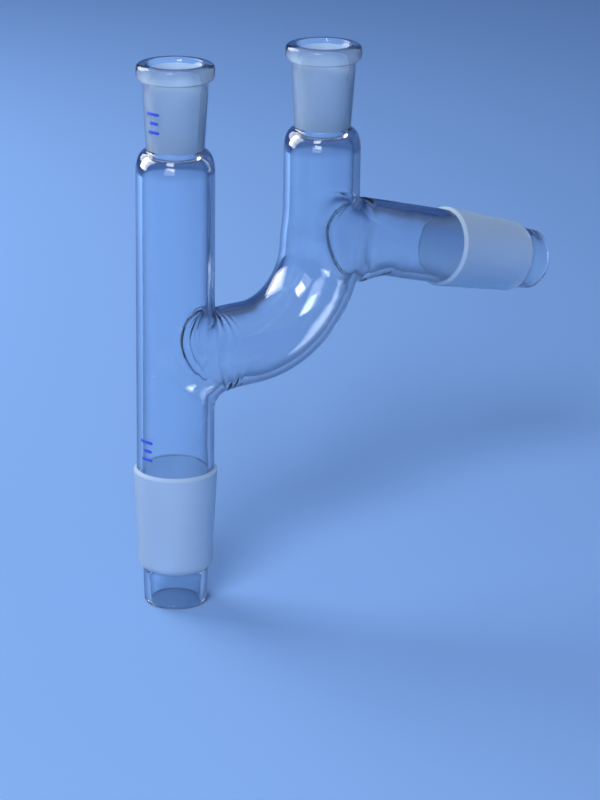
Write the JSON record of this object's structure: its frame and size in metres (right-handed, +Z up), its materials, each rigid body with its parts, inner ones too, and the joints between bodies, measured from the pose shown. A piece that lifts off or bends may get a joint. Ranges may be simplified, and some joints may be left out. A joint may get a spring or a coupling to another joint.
{
  "type": "distillation head",
  "caption": "Clear glass distillation head: upright column with a ground cone below, bent side neck, two ground sockets on top and a sloping side arm with a ground cone.",
  "frame": {"origin": "on the column's axis, at the wide end of the flask cone's ground zone", "axes": "+Z up the column towards its socket, +X from the column towards the neck and the side arm"},
  "size_m": [0.1476, 0.0242, 0.1588],
  "materials": {
    "clear_glass": "clear fire-polished borosilicate glass",
    "ground_glass": "fine-ground matt glass on the joints' mating faces",
    "blue_enamel": "fired blue enamel marks"
  },
  "bodies": {
    "root": {"glass_head": "clear_glass"}
  },
  "joints": []
}
